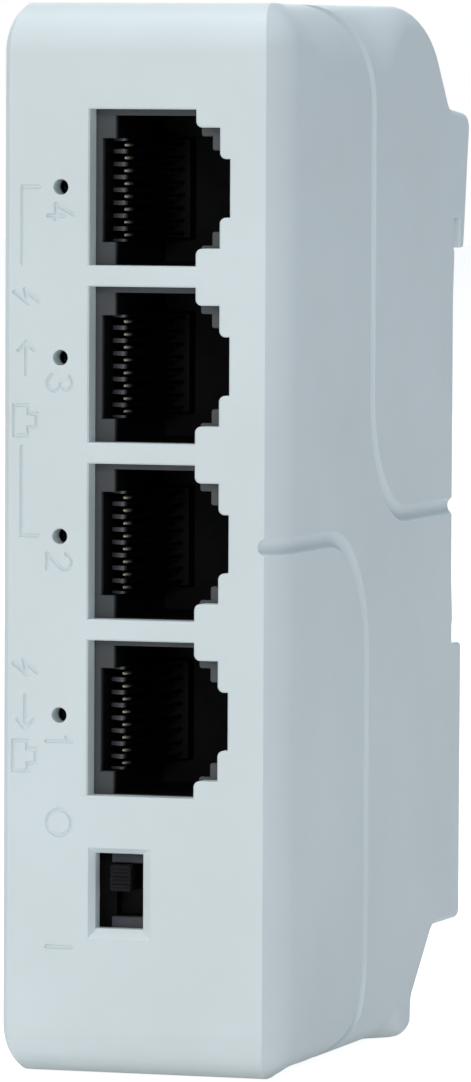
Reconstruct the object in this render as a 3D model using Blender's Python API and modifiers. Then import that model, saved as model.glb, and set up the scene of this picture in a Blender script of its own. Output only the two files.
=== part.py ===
"""DIN-rail PoE pass-through switch: four network jacks and a slide switch in a white moulded housing.

The part's frame: +X right, +Y back, +Z up, in metres. The origin is the middle of the rail's seat.
Measures in this file are in millimetres: x from the middle of the width, y from the front face and
z from the bottom. at() turns them into the part's frame.
"""

import math

import bmesh
import bpy
from mathutils import Vector

MM = 0.001

# Housing
WIDTH = 23.7
HEIGHT = 85.0
RAIL_SEAT_Y = 47.75
WALL = 1.7
FRONT_EDGE_RADIUS = 4.0
SIDE_EDGE_RADIUS = 3.8
UPRIGHT_EDGE = 1.45
UPRIGHT_EDGE_TURN = math.radians(40.5)
UPRIGHT_EDGE_RADIUS = 4.5
GAP = 0.2

# Rail: a 35 mm top-hat rail, 1 mm thick
RAIL_HEIGHT = 35.0
HOOK_SLOT_TOP_Z = 67.45
RAIL_Z = HOOK_SLOT_TOP_Z - RAIL_HEIGHT / 2
HOOK_LIP_Z = 64.95
SEAT_RELIEF = 0.15
LOWER_BLOCK_Y = 50.45
LOWER_BLOCK_TOP_Z = 31.8
LOWER_BLOCK_BOTTOM_Z = 8.5

# Side grooves
GROOVE_WIDTH = 1.05
GROOVE_DEPTH = 0.45
GROOVE_TOP_Z = 43.4
GROOVE_FRONT_Z = 42.35
GROOVE_BACK_Y = 24.3
GROOVE_LOWER_Y = 23.0
GROOVE_BEND = 10.0
GROOVE_END_BEND = 8.5

# Jacks: the pitch of a ganged RJ45 block, top port first
PORTS = (4, 3, 2, 1)
PORT_PITCH = 13.97
TOP_PORT_Z = 70.47
PORT_LEFT_X = -4.19
PORT_STEPS = ((4.62, 12.32), (6.59, 9.5), (7.43, 4.6))
JACK_STEPS = ((4.48, 11.8), (5.39, 8.6), (7.2, 6.4))
JACK_LEFT_X = -2.5
JACK_NOTCH_X = -3.68
JACK_NOTCH_WIDTH = 8.4
JACK_LOW = (-4.4, 1.9)
JACK_HIGH = (8.7, 18.3)
JACK_CAVITY_DEPTH = 12.7
JACK_END_WALL = 0.8
JACK_DROP = 0.25

# Contacts
CONTACTS = 8
CONTACT_PITCH = 1.02
CONTACT_RADIUS = 0.18
CARRIER_WIDTH = 8.0
CARRIER_RIGHT_X = -0.3
CARRIER_POCKET = 0.9

# Lamps
LED_X = -6.56
LED_HOLE_RADIUS = 0.67
LED_OFFSETS = {4: 0.0, 3: 0.5, 2: 0.35, 1: 0.15}

# Slide switch
WINDOW_LOW = (-3.68, 11.84)
WINDOW_HIGH = (0.32, 17.84)
WINDOW_BEVEL = 0.7
SWITCH_TRAVEL = 2.0
KNOB_SIZE = (1.7, 2.1)

# Board
BOARD_X = -4.7
BOARD_THICKNESS = 1.6
BOARD_OUTLINE = (
    (2.4, 10.4, 0.5),
    (2.4, 78.2, 0.5),
    (27.2, 78.2, 0.5),
    (27.2, 74.4, 0.5),
    (44.6, 74.4, 0.5),
    (44.6, 10.4, 0.5),
)

# Screws: (y, z)
COVER_SCREWS = ((6.8, 6.6), (30.5, 6.9), (31.0, 77.9))
BOARD_SCREWS = ((41.0, 70.0), (41.0, 14.5))
POST_RADIUS = 2.2
PILOT_RADIUS = 1.05
SHANK_RADIUS = 0.8
HEAD_RADIUS = 1.75
HEAD_HEIGHT = 1.0

# Cover
COVER_THICKNESS = 2.0
COVER_OUTLINE = (
    (3.2, 4.0, 2.5),
    (3.2, 81.0, 2.5),
    (37.4, 81.0, 8.0),
    (43.7, 73.5, 3.0),
    (43.7, 12.3, 2.0),
    (40.9, 12.3, 2.0),
    (31.8, 4.0, 2.0),
)

# Rail latch and its spring
LATCH_TRAVEL = 3.0
LATCH_HALF_WIDTH = 5.3
FLANGE_HALF_WIDTH = 6.6
FLANGE_THICKNESS = 1.1
LATCH_BOTTOM_Z = 8.9
LATCH_TOP_Z = 33.4
SPRING_LOW_Z = 14.2
SPRING_HIGH_Z = 23.8
SPRING_RADIUS = 0.75
SPRING_WIRE = 0.16
SPRING_TURNS = 7

HALF = WIDTH / 2
ROUND_STEP = math.radians(15)
TURN = {"x": (math.pi / 2, 0, math.pi / 2), "y": (math.pi / 2, 0, 0), "z": (0, 0, 0)}


def at(x, y, z):
    """A place in the part's frame, in metres."""
    return Vector((x, y - RAIL_SEAT_Y, z - RAIL_Z)) * MM


def port_z(port):
    return TOP_PORT_Z - PORTS.index(port) * PORT_PITCH


def jack_z(port):
    """The jacks sit a little lower than the housing's openings."""
    return port_z(port) - JACK_DROP


# Scene and materials


def clear_scene():
    for obj in list(bpy.data.objects):
        bpy.data.objects.remove(obj, do_unlink=True)


def new_collection(name, hidden=False):
    collection = bpy.data.collections.new(name)
    bpy.context.scene.collection.children.link(collection)
    collection.hide_render = hidden
    return collection


def material(name, colour, roughness, metallic=0.0):
    made = bpy.data.materials.new(name)
    made.use_nodes = True
    shader = made.node_tree.nodes["Principled BSDF"]
    shader.inputs["Base Color"].default_value = (*colour, 1.0)
    shader.inputs["Roughness"].default_value = roughness
    shader.inputs["Metallic"].default_value = metallic
    return made


def housing_plastic():
    return material("housing_plastic", (0.62, 0.68, 0.71), 0.5)


def dark_plastic():
    return material("dark_plastic", (0.02, 0.02, 0.022), 0.45)


def board_green():
    return material("board_green", (0.02, 0.12, 0.05), 0.4)


def contact_metal():
    return material("contact_metal", (0.83, 0.62, 0.28), 0.3, 1.0)


def steel():
    return material("steel", (0.55, 0.56, 0.58), 0.35, 1.0)


def lamp_plastic():
    return material("lamp_plastic", (0.75, 0.8, 0.75), 0.2)


def capacitor_sleeve():
    return material("capacitor_sleeve", (0.03, 0.04, 0.06), 0.35)


# Shapes


def link(obj, collection, surface=None):
    collection.objects.link(obj)
    if surface:
        obj.data.materials.clear()
        obj.data.materials.append(surface)
    return obj


def make_tool(obj):
    """Marks a cutter or a piece that a Boolean joins, so that it isn't a part itself."""
    obj.hide_render = True
    obj.display_type = "WIRE"
    return obj


def boolean(obj, tool, operation):
    change = obj.modifiers.new(tool.name, "BOOLEAN")
    change.operation = operation
    change.solver = "EXACT"
    change.object = make_tool(tool)
    return obj


def cut(obj, tool):
    return boolean(obj, tool, "DIFFERENCE")


def join(obj, tool):
    return boolean(obj, tool, "UNION")


def overlap(obj, tool):
    return boolean(obj, tool, "INTERSECT")


def baked_mesh(obj, name):
    """The evaluated mesh of an object, welded."""
    bpy.context.view_layer.update()
    seen = obj.evaluated_get(bpy.context.evaluated_depsgraph_get())
    mesh = bpy.data.meshes.new_from_object(seen)
    mesh.name = name
    work = bmesh.new()
    work.from_mesh(mesh)
    bmesh.ops.remove_doubles(work, verts=work.verts, dist=1e-6)
    work.to_mesh(mesh)
    work.free()
    return mesh


def as_mesh(curve):
    """Turns a curve object into a mesh object in the same place and collection."""
    name = curve.name
    collection = curve.users_collection[0]
    made = bpy.data.objects.new(name, baked_mesh(curve, name))
    made.matrix_world = curve.matrix_world.copy()
    collection.objects.link(made)
    bpy.data.objects.remove(curve, do_unlink=True)
    made.name = name
    return made


def rounded(corners):
    """An outline from (u, v, radius) corners, with an arc at each corner that has a radius."""
    points = []
    for i, (u, v, radius) in enumerate(corners):
        here = Vector((u, v))
        back = (Vector(corners[i - 1][:2]) - here).normalized()
        ahead = (Vector(corners[(i + 1) % len(corners)][:2]) - here).normalized()
        if radius == 0:
            points.append(here)
            continue
        half_angle = back.angle(ahead) / 2
        middle = here + (back + ahead).normalized() * radius / math.sin(half_angle)
        start = here + back * radius / math.tan(half_angle) - middle
        sweep = math.pi - 2 * half_angle
        turn = math.copysign(sweep, -back.cross(ahead))
        steps = max(2, math.ceil(sweep / ROUND_STEP))
        for k in range(steps + 1):
            angle = turn * k / steps
            cos, sin = math.cos(angle), math.sin(angle)
            points.append(middle + Vector((start.x * cos - start.y * sin, start.x * sin + start.y * cos)))
    return points


def plate(name, corners, axis, low, high, collection, surface=None):
    """A flat outline given a thickness from low to high along an axis: (y, z), (x, z) or (x, y) corners."""
    curve = bpy.data.curves.new(name, "CURVE")
    curve.dimensions = "2D"
    curve.fill_mode = "BOTH"
    curve.extrude = (high - low) / 2 * MM
    points = rounded(corners)
    spline = curve.splines.new("POLY")
    spline.points.add(len(points) - 1)
    for place, point in zip(spline.points, points):
        place.co = (point.x * MM, point.y * MM, 0, 1)
    spline.use_cyclic_u = True
    obj = bpy.data.objects.new(name, curve)
    obj.rotation_euler = TURN[axis]
    middle = (low + high) / 2
    obj.location = at(*(middle if axis == letter else 0 for letter in "xyz"))
    collection.objects.link(obj)
    made = as_mesh(obj)
    if surface:
        made.data.materials.append(surface)
    return made


def box(name, low, high, collection, surface=None):
    mesh = bpy.data.meshes.new(name)
    work = bmesh.new()
    bmesh.ops.create_cube(work, size=1.0)
    size = (Vector(high) - Vector(low)) * MM
    bmesh.ops.scale(work, verts=work.verts, vec=size)
    work.to_mesh(mesh)
    work.free()
    obj = bpy.data.objects.new(name, mesh)
    obj.location = at(*((Vector(low) + Vector(high)) / 2))
    return link(obj, collection, surface)


def rod(name, axis, centre, radius, low, high, collection, surface=None, sides=20, end_radius=None):
    """A cylinder or cone along an axis. centre gives the other two coordinates."""
    mesh = bpy.data.meshes.new(name)
    work = bmesh.new()
    end = radius if end_radius is None else end_radius
    bmesh.ops.create_cone(
        work, cap_ends=True, segments=sides, radius1=radius * MM, radius2=end * MM, depth=(high - low) * MM
    )
    work.to_mesh(mesh)
    work.free()
    smooth(mesh)
    obj = bpy.data.objects.new(name, mesh)
    place = list(centre)
    place.insert("xyz".index(axis), (low + high) / 2)
    obj.location = at(*place)
    obj.rotation_euler = {"x": (0, math.pi / 2, 0), "y": (-math.pi / 2, 0, 0), "z": (0, 0, 0)}[axis]
    return link(obj, collection, surface)


def smooth(mesh):
    mesh.shade_smooth()
    mesh.set_sharp_from_angle(angle=math.radians(35))


def wire(name, points, radius, collection, surface=None, resolution=2):
    curve = bpy.data.curves.new(name, "CURVE")
    curve.dimensions = "3D"
    curve.bevel_depth = radius * MM
    curve.bevel_resolution = resolution
    curve.use_fill_caps = True
    spline = curve.splines.new("POLY")
    spline.points.add(len(points) - 1)
    for place, point in zip(spline.points, points):
        place.co = (*(Vector(point) * MM), 1)
    obj = bpy.data.objects.new(name, curve)
    return link(obj, collection, surface)


def stepped_outline(left, steps, middle):
    """The T-shaped opening of a jack: each step is (right edge, height), widest first."""
    upper = []
    inner = left
    for right, height in steps:
        upper += [(inner, middle + height / 2, 0), (right, middle + height / 2, 0)]
        inner = right
    lower = [(x, 2 * middle - z, 0) for x, z, _ in reversed(upper)]
    return upper + lower


# Housing


def side_outline(inset):
    """The housing seen from the side, as (y, z, radius), moved inwards by inset."""
    slope = math.radians(50)
    heel = math.radians(42.5)
    back = RAIL_SEAT_Y - inset
    relief = back - SEAT_RELIEF
    top = HEIGHT - inset
    roll_y = 39.3 - inset * math.tan(slope / 2)
    heel_y = 36.55 - inset
    return [
        (inset, inset, FRONT_EDGE_RADIUS - inset),
        (inset, top, FRONT_EDGE_RADIUS - inset),
        (roll_y, top, 15.5 - inset),
        (46.4 - inset * 0.5, 76.7 - inset * 1.1, 2.4),
        (52.45 - inset, 76.1 - inset, 1.3 - inset),
        (LOWER_BLOCK_Y - inset, HOOK_LIP_Z + inset, 0.3),
        (49.35 + inset * 0.8, HOOK_LIP_Z + inset, 0.0),
        (49.35 + inset * 0.8, HOOK_SLOT_TOP_Z + inset, 0.0),
        (relief, HOOK_SLOT_TOP_Z + inset, 0.0),
        (relief, HOOK_LIP_Z - SEAT_RELIEF, 0.0),
        (back, HOOK_LIP_Z - SEAT_RELIEF, 0.0),
        (back, LATCH_TOP_Z + SEAT_RELIEF, 0.0),
        (relief, LATCH_TOP_Z + SEAT_RELIEF, 0.0),
        (relief, LOWER_BLOCK_TOP_Z - inset, 0.0),
        (LOWER_BLOCK_Y - inset, LOWER_BLOCK_TOP_Z - inset, 0.5),
        (LOWER_BLOCK_Y - inset, LOWER_BLOCK_BOTTOM_Z + inset, 0.8),
        (42.6 - inset * math.tan(heel / 2), LOWER_BLOCK_BOTTOM_Z + inset, 2.6),
        (heel_y, 2.95 + inset * 0.4, 1.0),
        (heel_y, inset, 1.6 - inset),
    ]


def front_outline(inset):
    side = HALF - inset
    top = HEIGHT - inset
    radius = SIDE_EDGE_RADIUS - inset
    return [(-side, inset, radius), (-side, top, radius), (side, top, radius), (side, inset, radius)]


def plan_outline(inset):
    """From above: each upright front edge starts at a crease and rolls into the side."""
    side = HALF - inset
    far = 60.0
    roll_y = UPRIGHT_EDGE / math.tan(UPRIGHT_EDGE_TURN)
    roll_y += inset * math.tan(UPRIGHT_EDGE_TURN / 2)
    crease = HALF - UPRIGHT_EDGE - inset * math.tan(math.pi / 4 - UPRIGHT_EDGE_TURN / 2)
    right = [(side, far, 0), (side, roll_y, UPRIGHT_EDGE_RADIUS - inset), (crease, inset, 0)]
    return right + [(-x, y, r) for x, y, r in reversed(right)]


def body_form(name, inset, collection):
    """The housing's outer form: what the side, front and plan outlines have in common."""
    form = plate(name, side_outline(inset), "x", -HALF + inset, HALF - inset, collection)
    overlap(form, plate(name + "_front", front_outline(inset), "y", -1, 60, collection))
    overlap(form, plate(name + "_plan", plan_outline(inset), "z", -1, HEIGHT + 1, collection))
    return form


def arc(middle, radius, start, end):
    """Points on an arc in the (y, z) plane, with angles in degrees."""
    steps = max(2, math.ceil(abs(math.radians(end - start)) / ROUND_STEP))
    turns = (math.radians(start + (end - start) * k / steps) for k in range(steps + 1))
    return [(middle[0] + radius * math.cos(t), middle[1] + radius * math.sin(t)) for t in turns]


def ribbon(path, width):
    """The outline of a band of even width along a path."""
    sides = ([], [])
    for i, point in enumerate(path):
        before = Vector(path[max(i - 1, 0)])
        after = Vector(path[min(i + 1, len(path) - 1)])
        along = (after - before).normalized()
        across = Vector((-along.y, along.x)) * width / 2
        sides[0].append((*(Vector(point) + across), 0))
        sides[1].append((*(Vector(point) - across), 0))
    return sides[0] + sides[1][::-1]


def rear_groove_path():
    """From the top edge, down the side, round a bend and out at the back."""
    head = arc((GROOVE_BACK_Y - GROOVE_END_BEND, 76.5), GROOVE_END_BEND, 85, 0)
    bend_middle = (GROOVE_BACK_Y + GROOVE_BEND, GROOVE_TOP_Z + GROOVE_BEND)
    return head + arc(bend_middle, GROOVE_BEND, 180, 270) + [(RAIL_SEAT_Y + 1, GROOVE_TOP_Z)]


def front_groove_path():
    """From the front edge, round a bend, down the side and towards the front at the bottom."""
    bend_middle = (GROOVE_LOWER_Y - GROOVE_BEND, GROOVE_FRONT_Z - GROOVE_BEND)
    foot = arc((GROOVE_LOWER_Y - GROOVE_END_BEND, 8.5), GROOVE_END_BEND, 0, -85)
    return [(-1.0, GROOVE_FRONT_Z)] + arc(bend_middle, GROOVE_BEND, 90, 0) + foot


def cavity_outline():
    return [
        (WALL, WALL, 2.3),
        (WALL, HEIGHT - WALL, 2.3),
        (38.5, HEIGHT - WALL, 13.8),
        (RAIL_SEAT_Y - WALL, 74.3, 2.0),
        (RAIL_SEAT_Y - WALL, 10.2, 0.5),
        (42.0, 10.2, 1.0),
        (32.7, WALL, 1.5),
    ]


def grown(corners, amount):
    """An outline moved outwards by amount, for an outline whose points run clockwise."""
    moved = []
    for i, (u, v, radius) in enumerate(corners):
        here = Vector((u, v))
        back = (here - Vector(corners[i - 1][:2])).normalized()
        ahead = (Vector(corners[(i + 1) % len(corners)][:2]) - here).normalized()
        out = (Vector((-back.y, back.x)) + Vector((-ahead.y, ahead.x))).normalized()
        reach = amount / out.dot(Vector((-back.y, back.x)))
        moved.append((*(here + out * reach), radius + amount))
    return moved


def switch_window(collection):
    """The switch window's straight hole and the sloped frame around it, as one cutter."""
    low_x, low_z = WINDOW_LOW
    high_x, high_z = WINDOW_HIGH
    hole = box("window_hole", (low_x, -1, low_z), (high_x, WALL + 1, high_z), collection)
    middle = ((low_x + high_x) / 2, (low_z + high_z) / 2)
    reach = WALL
    frame = rod("window_frame", "y", (0, 0), 1, 0, 1, collection, sides=4)
    mesh = frame.data
    for vertex in mesh.vertices:
        front = vertex.co.z < 0
        grow = WINDOW_BEVEL + 0.3 if front else WINDOW_BEVEL - reach
        x = math.copysign((high_x - low_x) / 2 + grow, vertex.co.x + vertex.co.y)
        z = math.copysign((high_z - low_z) / 2 + grow, vertex.co.x - vertex.co.y)
        vertex.co = Vector((x, z, -0.3 if front else reach)) * MM
    frame.location = at(middle[0], 0, middle[1])
    return join(hole, frame)


def add_posts(housing, tools):
    inner = HALF - WALL
    for i, (y, z) in enumerate(COVER_SCREWS):
        end = -HALF + COVER_THICKNESS + GAP
        join(housing, rod(f"cover_post_{i}", "x", (y, z), POST_RADIUS, end, inner + 0.5, tools))
        cut(housing, rod(f"cover_pilot_{i}", "x", (y, z), PILOT_RADIUS, end - 1, end + 9.5, tools))
    for i, (y, z) in enumerate(BOARD_SCREWS):
        end = BOARD_X + GAP
        join(housing, rod(f"board_post_{i}", "x", (y, z), POST_RADIUS, end, inner + 0.5, tools))
        cut(housing, rod(f"board_pilot_{i}", "x", (y, z), PILOT_RADIUS, end - 1, end + 7.0, tools))


def cut_front(housing, tools):
    for port in PORTS:
        outline = stepped_outline(PORT_LEFT_X, PORT_STEPS, port_z(port))
        cut(housing, plate(f"port_hole_{port}", outline, "y", -1, WALL + 1, tools))
        centre = (LED_X, port_z(port) + LED_OFFSETS[port])
        cut(housing, rod(f"lamp_hole_{port}", "y", centre, LED_HOLE_RADIUS, -1, WALL + 1, tools, sides=16))
    cut(housing, switch_window(tools))


def cut_latch_channel(housing, tools):
    """A T-shaped channel down the lower block, with a post in it that the spring stands on."""
    floor = RAIL_SEAT_Y + 0.01
    mouth = LATCH_HALF_WIDTH + GAP
    flange = FLANGE_HALF_WIDTH + GAP
    ledge = RAIL_SEAT_Y + GAP + FLANGE_THICKNESS + GAP
    cut(housing, box("channel_mouth", (-mouth, floor, 0), (mouth, 55, LOWER_BLOCK_TOP_Z + 1), tools))
    cut(housing, box("channel_flange", (-flange, floor, 0), (flange, ledge, LOWER_BLOCK_TOP_Z - 1.5), tools))
    low = (-1.3, RAIL_SEAT_Y - 0.5, SPRING_LOW_Z - 1.8)
    high = (1.3, LOWER_BLOCK_Y - 0.5, SPRING_LOW_Z - GAP)
    join(housing, box("spring_post", low, high, tools))


def build_housing(parts, tools, surface):
    housing = body_form("main_housing", 0, tools)
    tools.objects.unlink(housing)
    link(housing, parts, surface)
    near = HALF - SIDE_EDGE_RADIUS
    for name, path in (("rear_groove", rear_groove_path()), ("front_groove", front_groove_path())):
        cut(housing, plate(name, ribbon(path, GROOVE_WIDTH), "x", near, HALF + 1, tools))
    join(housing, body_form("groove_floor", GROOVE_DEPTH, tools))
    inner = HALF - WALL
    cut(housing, plate("cavity", cavity_outline(), "x", -inner, inner, tools))
    opening = grown(COVER_OUTLINE, GAP)
    cut(housing, plate("cover_opening", opening, "x", -HALF - 1, -inner + 0.5, tools))
    add_posts(housing, tools)
    cut_front(housing, tools)
    cut_latch_channel(housing, tools)
    return housing


def build_cover(parts, tools, surface):
    outer = -HALF
    inner = -HALF + COVER_THICKNESS
    cover = plate("side_cover", COVER_OUTLINE, "x", outer, inner, parts, surface)
    seat = outer + 0.1 + HEAD_HEIGHT + GAP
    for i, (y, z) in enumerate(COVER_SCREWS):
        cut(cover, rod(f"cover_hole_{i}", "x", (y, z), SHANK_RADIUS + 0.4, outer - 1, inner + 1, tools))
        cut(cover, rod(f"head_recess_{i}", "x", (y, z), HEAD_RADIUS + GAP, outer - 1, seat, tools))
    tongue_low = (-HALF + WALL + GAP, 2.1, 79.0)
    tongue_high = (-HALF + WALL + GAP + 1.2, 6.0, 80.6)
    return join(cover, box("cover_tongue", tongue_low, tongue_high, tools))


# Fasteners


def screw_mesh(length, tools, surface):
    """A pan-head screw along +Z from its tip, with a cross recess, as a mesh to share."""
    shoulder = length * MM
    head_top = (length + HEAD_HEIGHT) * MM
    profile = [
        (0, head_top),
        ((HEAD_RADIUS - 0.35) * MM, head_top),
        (HEAD_RADIUS * MM, head_top - 0.35 * MM),
        (HEAD_RADIUS * MM, shoulder),
        (SHANK_RADIUS * MM, shoulder),
        (SHANK_RADIUS * MM, 1.0 * MM),
        (0, 0),
    ]
    mesh = bpy.data.meshes.new("screw_profile")
    edges = [(i, i + 1) for i in range(len(profile) - 1)]
    mesh.from_pydata([(r, 0, h) for r, h in profile], edges, [])
    body = link(bpy.data.objects.new("screw_body", mesh), tools)
    turned = body.modifiers.new("turned", "SCREW")
    turned.steps = turned.render_steps = 20
    turned.use_merge_vertices = True
    turned.merge_threshold = 0.00001
    turned.use_smooth_shade = True
    for name, half_x, half_y in (("slot_a", 0.95, 0.2), ("slot_b", 0.2, 0.95)):
        slot = box(name, (0, 0, 0), (2 * half_x, 2 * half_y, 2), tools)
        slot.location = (0, 0, head_top + 0.4 * MM)
        cut(body, slot)
    made = baked_mesh(body, "screw")
    made.materials.clear()
    made.materials.append(surface)
    smooth(made)
    make_tool(body)
    return made


def place_screw(name, mesh, y, z, tip_x, parts):
    """A screw that goes in from the left, its head towards -X."""
    obj = bpy.data.objects.new(name, mesh)
    obj.rotation_euler = (0, -math.pi / 2, 0)
    obj.location = at(tip_x, y, z)
    parts.objects.link(obj)


def build_screws(parts, tools, surface):
    length = 8.0
    cover_screw = screw_mesh(length, tools, surface)
    tip = -HALF + 0.1 + HEAD_HEIGHT + length
    for i, (y, z) in enumerate(COVER_SCREWS):
        place_screw(f"cover_screw_{i + 1}", cover_screw, y, z, tip, parts)
    length = 6.0
    board_screw = screw_mesh(length, tools, surface)
    tip = BOARD_X - BOARD_THICKNESS - GAP + length
    for i, (y, z) in enumerate(BOARD_SCREWS):
        place_screw(f"board_screw_{i + 1}", board_screw, y, z, tip, parts)


# Board and what it carries


def build_board(parts, tools, surface):
    board = plate("main_board", BOARD_OUTLINE, "x", BOARD_X - BOARD_THICKNESS, BOARD_X, parts, surface)
    for i, (y, z) in enumerate(BOARD_SCREWS):
        hole = rod(f"board_hole_{i}", "x", (y, z), SHANK_RADIUS + 0.3, -10, 0, tools, sides=16)
        cut(board, hole)
    return board


def build_jack(parts, tools, surface):
    margin = JACK_STEPS[0][1] / 2 + JACK_END_WALL + 0.9
    low = (JACK_LOW[0], JACK_LOW[1], jack_z(1) - margin)
    high = (JACK_HIGH[0], JACK_HIGH[1], jack_z(4) + margin)
    jack = box("jack_housing", low, high, parts, surface)
    front = JACK_LOW[1]
    back = front + JACK_CAVITY_DEPTH
    for port in PORTS:
        middle = jack_z(port)
        cavity = stepped_outline(JACK_LEFT_X, JACK_STEPS, middle)
        hole = plate(f"jack_cavity_{port}", cavity, "y", front - 1, back, tools)
        half = JACK_NOTCH_WIDTH / 2
        notch_low = (JACK_NOTCH_X, front - 1, middle - half)
        notch_high = (JACK_LEFT_X + 1, back, middle + half)
        join(hole, box(f"jack_notch_{port}", notch_low, notch_high, tools))
        pocket_low = (JACK_NOTCH_X, back - 2, middle - half)
        pocket_high = (CARRIER_RIGHT_X + GAP, back + CARRIER_POCKET, middle + half)
        join(hole, box(f"carrier_pocket_{port}", pocket_low, pocket_high, tools))
        cut(jack, hole)
    return jack


def contacts_mesh(tools, surface):
    """Eight sprung wires that rise from a carrier at the back of the jack, as a mesh to share."""
    front = JACK_LOW[1] + 1.2
    back = JACK_LOW[1] + JACK_CAVITY_DEPTH + CARRIER_POCKET - GAP
    half = CARRIER_WIDTH / 2
    low = (JACK_NOTCH_X + GAP, back - 1.6, -half)
    high = (CARRIER_RIGHT_X, back, half)
    carrier = box("contact_carrier", low, high, tools)
    carrier.location = (Vector(low) + Vector(high)) / 2 * MM
    path = ((-0.9, back - 1.0), (-0.9, back - 2.4), (-3.1, front + 1.6), (-3.2, front))
    for i in range(CONTACTS):
        z = (i - (CONTACTS - 1) / 2) * CONTACT_PITCH
        points = [(x, y, z) for x, y in path]
        join(carrier, as_mesh(wire(f"contact_wire_{i}", points, CONTACT_RADIUS, tools, resolution=1)))
    made = baked_mesh(carrier, "port_contacts")
    made.transform(carrier.matrix_world)
    made.materials.clear()
    made.materials.append(surface)
    make_tool(carrier)
    return made


def build_contacts(parts, tools, surface):
    shared = contacts_mesh(tools, surface)
    for port in PORTS:
        obj = bpy.data.objects.new(f"port_contacts_{port}", shared)
        obj.location = at(0, 0, jack_z(port))
        parts.objects.link(obj)


def build_lamps(parts, tools, surface):
    right = BOARD_X - BOARD_THICKNESS - GAP
    for port in PORTS:
        z = port_z(port) + LED_OFFSETS[port]
        lamp = box(f"status_led_{port}", (right - 1.0, 3.4, z - 0.8), (right, 4.6, z + 0.8), parts, surface)
        lens = rod(f"led_lens_{port}", "y", (right - 0.5, z), 0.42, 2.9, 3.8, tools, sides=12, end_radius=0.48)
        join(lamp, lens)


def build_switch(parts, tools, body_surface, knob_surface):
    middle_x = (WINDOW_LOW[0] + WINDOW_HIGH[0]) / 2
    middle_z = (WINDOW_LOW[1] + WINDOW_HIGH[1]) / 2
    low = (BOARD_X + GAP, 1.9, middle_z - 4.3)
    high = (BOARD_X + GAP + 5.6, 5.9, middle_z + 4.3)
    body = box("switch_body", low, high, parts, body_surface)
    half_x, half_z = KNOB_SIZE[0] / 2, KNOB_SIZE[1] / 2
    rest_z = middle_z + SWITCH_TRAVEL / 2
    reach = SWITCH_TRAVEL / 2 + half_z + GAP
    slot_low = (middle_x - half_x - GAP, 0, middle_z - reach)
    slot_high = (middle_x + half_x + GAP, 4.4, middle_z + reach)
    cut(body, box("knob_slot", slot_low, slot_high, tools))
    knob_low = (middle_x - half_x, 0.55, rest_z - half_z)
    knob_high = (middle_x + half_x, 4.2, rest_z + half_z)
    knob = box("switch_knob", knob_low, knob_high, parts, knob_surface)
    edges = knob.modifiers.new("edges", "BEVEL")
    edges.width = 0.25 * MM
    edges.segments = 2


def build_chips(parts, dark, metal):
    right = BOARD_X + GAP
    left = BOARD_X - BOARD_THICKNESS - GAP
    for port in PORTS:
        z = port_z(port)
        low, high = (right, 19.6, z - 6.2), (right + 5.8, 26.4, z + 6.2)
        chamfered_box(f"port_magnetics_{port}", low, high, 0.4, parts, dark)
    chamfered_box("switch_chip", (left - 1.4, 15.0, 38.0), (left, 25.0, 48.0), 0.2, parts, dark)
    chamfered_box("power_controller", (left - 1.5, 30.0, 27.0), (left, 35.0, 32.2), 0.2, parts, dark)
    chamfered_box("clock_crystal", (left - 1.2, 15.5, 51.0), (left, 18.7, 56.0), 0.3, parts, metal)
    for i, z in enumerate((58.0, 65.5)):
        low, high = (right, 29.5, z - 2.6), (right + 2.4, 36.0, z + 2.6)
        chamfered_box(f"bridge_rectifier_{i + 1}", low, high, 0.3, parts, dark)
    chamfered_box("power_inductor", (right, 29.5, 40.5), (right + 5.5, 41.5, 52.5), 1.2, parts, dark)


def chamfered_box(name, low, high, width, parts, surface):
    made = box(name, low, high, parts, surface)
    edges = made.modifiers.new("edges", "BEVEL")
    edges.width = width * MM
    edges.segments = 1
    return made


def build_capacitor(parts, surface):
    right = BOARD_X + GAP
    can = rod("filter_capacitor", "x", (35.0, 30.0), 5.0, right, right + 12.5, parts, surface, sides=28)
    edges = can.modifiers.new("edges", "BEVEL")
    edges.width = 0.5 * MM
    edges.segments = 2
    return can


# Rail latch


def build_latch(parts, tools, surface):
    """The plate that slides in the lower block. Its nose holds the rail's lower edge from behind."""
    back = LOWER_BLOCK_Y
    face = RAIL_SEAT_Y + GAP
    nose_front = RAIL_SEAT_Y + 1.3
    wide, narrow = FLANGE_HALF_WIDTH, LATCH_HALF_WIDTH
    flange_top = LOWER_BLOCK_TOP_Z - 1.5 - GAP
    section = [
        (nose_front, LATCH_BOTTOM_Z, 0),
        (nose_front, LATCH_TOP_Z - 0.4, 0),
        (nose_front + 0.4, LATCH_TOP_Z, 0),
        (back, LATCH_TOP_Z - 1.2, 0),
        (back, LATCH_BOTTOM_Z, 0),
    ]
    latch = plate("rail_latch", section, "x", -narrow, narrow, parts, surface)
    flange_back = face + FLANGE_THICKNESS
    join(latch, box("latch_flange", (-wide, face, LATCH_BOTTOM_Z), (wide, flange_back, flange_top), tools))
    window_low = SPRING_LOW_Z - 1.8 - GAP
    cut(latch, box("spring_window", (-1.6, 40, window_low), (1.6, 60, SPRING_HIGH_Z + GAP), tools))
    cut(latch, box("pull_slot", (-2.2, 40, LATCH_BOTTOM_Z + 0.9), (2.2, 60, LATCH_BOTTOM_Z + 2.3), tools))
    return latch


def build_spring(parts, surface):
    """A compression spring with its lowest coil on the post."""
    steps = 14
    low, high = SPRING_LOW_Z + SPRING_WIRE, SPRING_HIGH_Z - SPRING_WIRE
    count = SPRING_TURNS * steps
    points = []
    for i in range(count + 1):
        angle = math.tau * i / steps
        rise = low + (high - low) * i / count
        points.append((SPRING_RADIUS * math.cos(angle), SPRING_RADIUS * math.sin(angle), rise))
    spring = wire("latch_spring", points, SPRING_WIRE, parts, surface)
    spring.location = at(0, (RAIL_SEAT_Y + LOWER_BLOCK_Y) / 2, 0)
    return spring


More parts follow.
